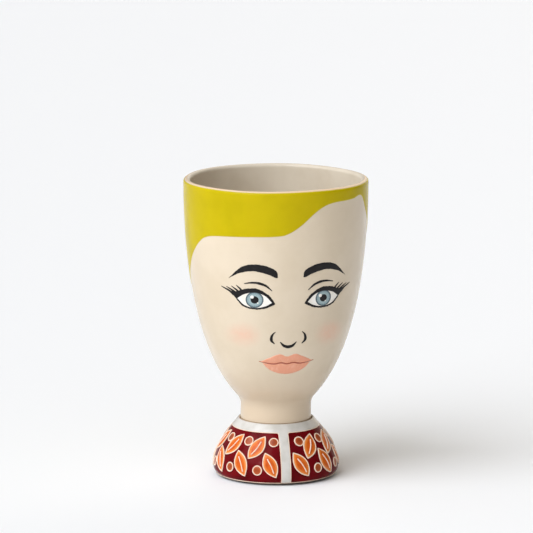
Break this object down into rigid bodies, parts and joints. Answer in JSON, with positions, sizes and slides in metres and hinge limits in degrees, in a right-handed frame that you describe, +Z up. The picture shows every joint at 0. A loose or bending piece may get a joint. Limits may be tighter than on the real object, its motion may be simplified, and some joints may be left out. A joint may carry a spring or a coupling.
{
  "type": "head planter",
  "caption": "Ceramic planter shaped as a head: a cup with a painted face and glazed hair, whose neck drops into a flared, patterned collar base that catches drips.",
  "frame": {"origin": "centre of the base's footprint, on the surface it stands on", "axes": "+Z up along the pot's axis, the face looks along -Y, +X to the right of someone facing the pot"},
  "size_m": [0.1206, 0.1206, 0.196],
  "materials": {
    "cream_ceramic": "satin cream glaze",
    "hair_glaze": "glossy chartreuse glaze",
    "black_paint": "satin black underglaze brushwork",
    "iris_paint": "satin grey-blue underglaze",
    "lip_paint": "satin peach underglaze",
    "white_glaze": "glossy off-white glaze",
    "burgundy_glaze": "glossy burgundy glaze",
    "orange_glaze": "glossy orange glaze",
    "rust_glaze": "glossy rust glaze",
    "grey_silicone": "matt grey silicone"
  },
  "bodies": {
    "base": {"collar_base": "burgundy_glaze", "collar_band": "white_glaze", "placket": "white_glaze", "leaf_motifs": "orange_glaze", "dot_motifs": "rust_glaze", "foot_pads": "grey_silicone"},
    "seat": {"seat_ring": "grey_silicone"},
    "head": {"head_pot": "cream_ceramic", "hair_coat": "hair_glaze", "brows": "black_paint", "eye_rims": "black_paint", "irises": "iris_paint", "pupils": "black_paint", "nose_mark": "black_paint", "lips": "lip_paint"},
    "plug": {"drain_plug": "grey_silicone"}
  },
  "joints": [
    {"name": "head_turn", "type": "hinge", "parent": "base", "child": "seat", "pos_m": [0, 0, 0.0205], "axis": [0, 0, 1], "continuous": true},
    {"name": "head_lift", "type": "slide", "parent": "seat", "child": "head", "axis": [0, 0, 1], "range_m": [0, 0.06]},
    {"name": "plug_pull", "type": "slide", "parent": "head", "child": "plug", "axis": [0, 0, 1], "range_m": [0, 0.18]}
  ]
}
